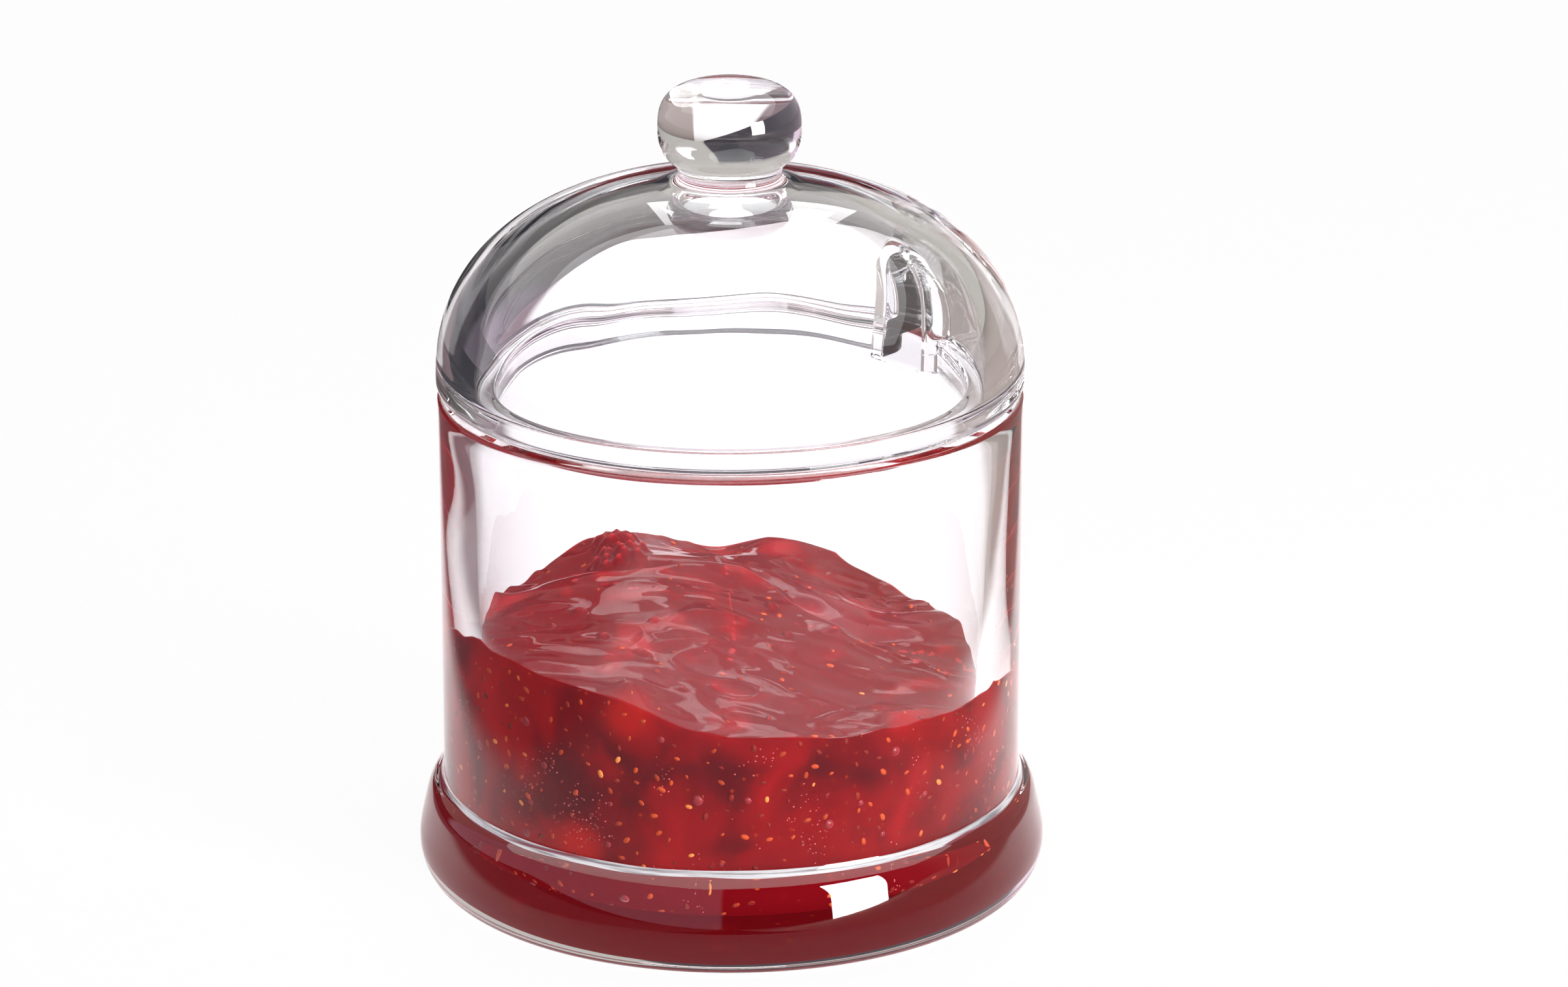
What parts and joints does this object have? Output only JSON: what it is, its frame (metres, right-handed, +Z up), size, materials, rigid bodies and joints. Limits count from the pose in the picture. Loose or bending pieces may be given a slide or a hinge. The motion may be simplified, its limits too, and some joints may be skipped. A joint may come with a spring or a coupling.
{
  "type": "jam jar",
  "caption": "Footed glass jam jar part filled with red jam, with a domed lid that has a round knob and a niche in its edge for a spoon's handle.",
  "frame": {"origin": "centre of the foot's flat underside, on the surface that the jar stands on", "axes": "+Z runs up the jar's axis to the knob, +X points out through the spoon niche in the lid, +Y is to the left of that"},
  "size_m": [0.0936, 0.0936, 0.1209],
  "materials": {
    "glass": "clear pressed glass, polished, slightly uneven",
    "jam": "wet, translucent red berry jam with small amber seeds"
  },
  "bodies": {
    "root": {"jar": "glass", "lid": "glass", "jam": "jam"}
  },
  "joints": []
}
